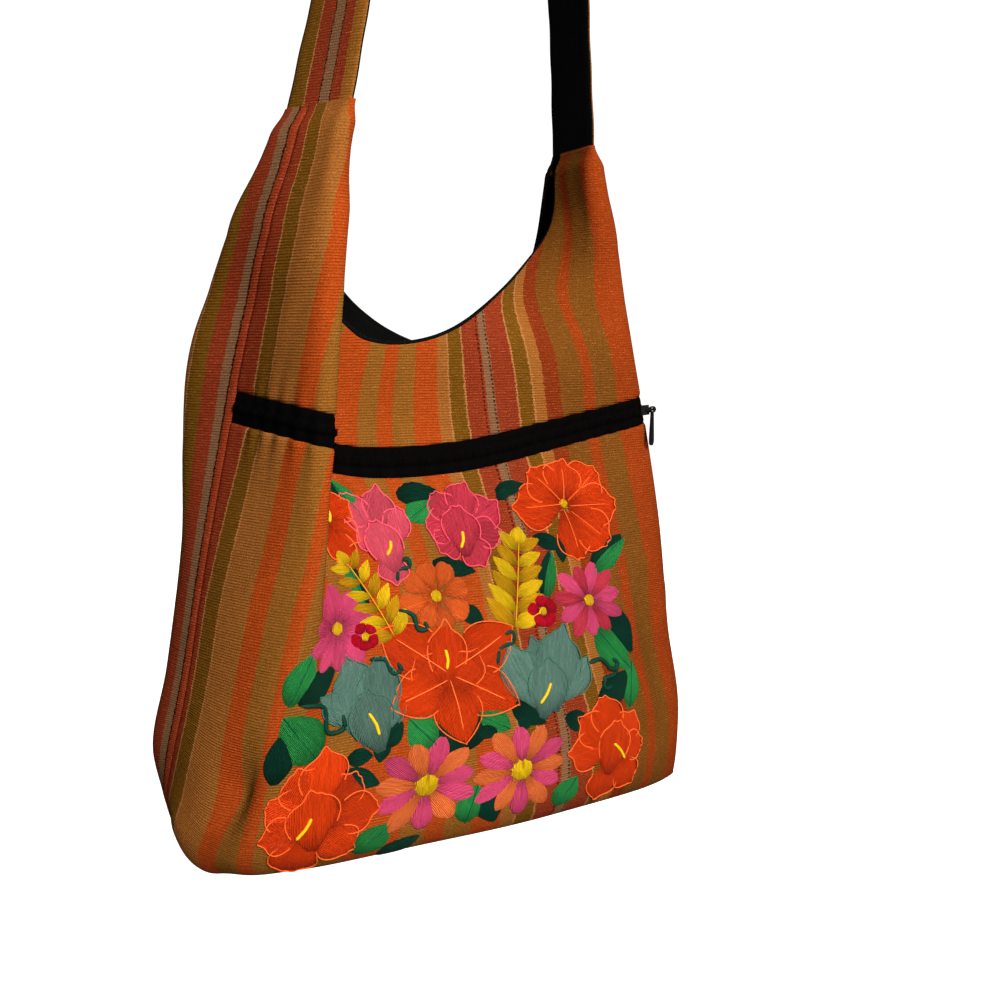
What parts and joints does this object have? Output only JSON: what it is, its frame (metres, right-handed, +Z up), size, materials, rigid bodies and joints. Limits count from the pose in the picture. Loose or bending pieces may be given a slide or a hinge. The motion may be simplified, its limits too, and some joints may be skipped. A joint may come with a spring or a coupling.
{
  "type": "embroidered hobo bag",
  "caption": "Soft striped cotton hobo bag hanging from its shoulder strap, with a scooped mouth, black lining, zipped front pocket and floral embroidery on the front.",
  "frame": {"origin": "underside of the strap at the top of its arch, where the bag hangs", "axes": "+Z up, -Y out of the embroidered front, +X to the right as seen from the front"},
  "size_m": [0.4229, 0.1709, 0.8368],
  "materials": {
    "striped_cloth": "ribbed cotton weave in warp stripes",
    "black_cloth": "plain black cotton",
    "black_tape": "black zip tape and coil",
    "black_metal": "black lacquered zinc"
  },
  "bodies": {
    "bag": {"pocket_panel": "striped_cloth", "front_yoke": "striped_cloth", "back_panel": "striped_cloth", "lining": "black_cloth", "zip_tape": "black_tape", "strap_outer": "striped_cloth", "strap_lining": "black_cloth", "zip_slider": "black_metal"},
    "pull": {"zip_pull": "black_metal"}
  },
  "joints": [
    {"name": "pull_hinge", "type": "hinge", "parent": "bag", "child": "pull", "pos_m": [0.1276, -0.04364, -0.5073], "axis": [-0.8431, -0.5377, 0], "range_deg": [-5, 150]}
  ]
}
